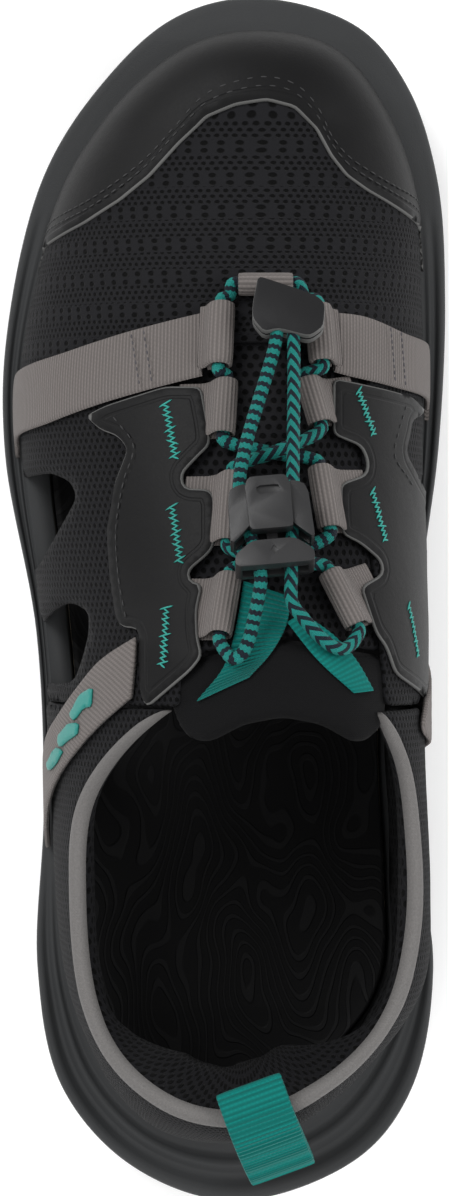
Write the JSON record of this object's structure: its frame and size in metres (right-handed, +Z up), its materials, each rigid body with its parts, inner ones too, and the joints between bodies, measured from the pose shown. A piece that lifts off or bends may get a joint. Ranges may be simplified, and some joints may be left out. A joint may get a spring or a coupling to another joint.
{
  "type": "closed-toe sport sandal",
  "caption": "Left closed-toe sport sandal: lugged sole, mesh and film upper with side windows, webbing straps, bungee lacing with sliding cord lock and heel pull tab.",
  "frame": {"origin": "centre of the footprint's bounding box, on the ground under the sole", "axes": "+X towards the inner (medial) side of this left shoe, +Y towards the toe, +Z up from the ground"},
  "size_m": [0.1036, 0.2792, 0.105],
  "materials": {
    "black": "black knitted mesh and neoprene",
    "board": "pressed fibre board",
    "film": "smooth matt black film",
    "foam": "matt moulded foam, grey",
    "grey": "grey woven webbing",
    "plastic": "moulded dark plastic",
    "rubber": "matt moulded rubber",
    "steel": "bright spring wire",
    "teal": "teal ribbed webbing and thread"
  },
  "bodies": {
    "shoe": {"outsole": "rubber", "midsole": "foam", "shank": "board", "lasting_board": "board", "insole": "black", "heel_lining": "black", "collar_padding": "black", "heel_counter": "board", "toe_puff": "board", "tongue": "black", "tongue_collar": "black", "gusset_tape_lateral": "teal", "gusset_tape_medial": "teal", "vamp_mesh": "black", "quarter_mesh_lateral": "black", "quarter_mesh_medial": "black", "heel_mesh": "black", "toe_cap": "film", "eyestay_lateral": "film", "eyestay_medial": "film", "heel_strap_lateral": "grey", "heel_strap_medial": "grey", "strap_badge": "teal", "bar_tack_lateral_front": "teal", "bar_tack_lateral_middle": "teal", "bar_tack_lateral_rear": "teal", "bar_tack_medial_front": "teal", "bar_tack_medial_middle": "teal", "bar_tack_medial_rear": "teal", "collar_binding": "grey", "forefoot_strap_lateral": "grey", "forefoot_strap_medial": "grey", "front_loop": "grey", "lace_loop_lateral_front": "grey", "lace_loop_medial_front": "grey", "lace_loop_lateral_middle": "grey", "lace_loop_medial_middle": "grey", "lace_loop_lateral_rear": "grey", "lace_loop_medial_rear": "grey", "bungee_cord": "teal", "cord_end_tab": "film"},
    "cord_lock": {"cord_lock_body": "plastic", "cord_lock_spring": "steel"},
    "plunger": {"cord_lock_plunger": "plastic"},
    "pull_tab": {"heel_pull_tab": "teal"}
  },
  "joints": [
    {"name": "cord_lock_slide", "type": "slide", "parent": "shoe", "child": "cord_lock", "axis": [-0.0939, 0.9264, -0.3647], "range_m": [0, 0.006]},
    {"name": "plunger_press", "type": "slide", "parent": "cord_lock", "child": "plunger", "axis": [-0.0939, 0.9264, -0.3647], "range_m": [0, 0.002], "stiffness_N_per_m": 600, "deforming": ["cord_lock_spring"]},
    {"name": "pull_tab_lift", "type": "hinge", "parent": "shoe", "child": "pull_tab", "pos_m": [0.00566, -0.10656, 0.0945], "axis": [-0.9394, -0.3429, 0], "range_deg": [0, 75]}
  ]
}
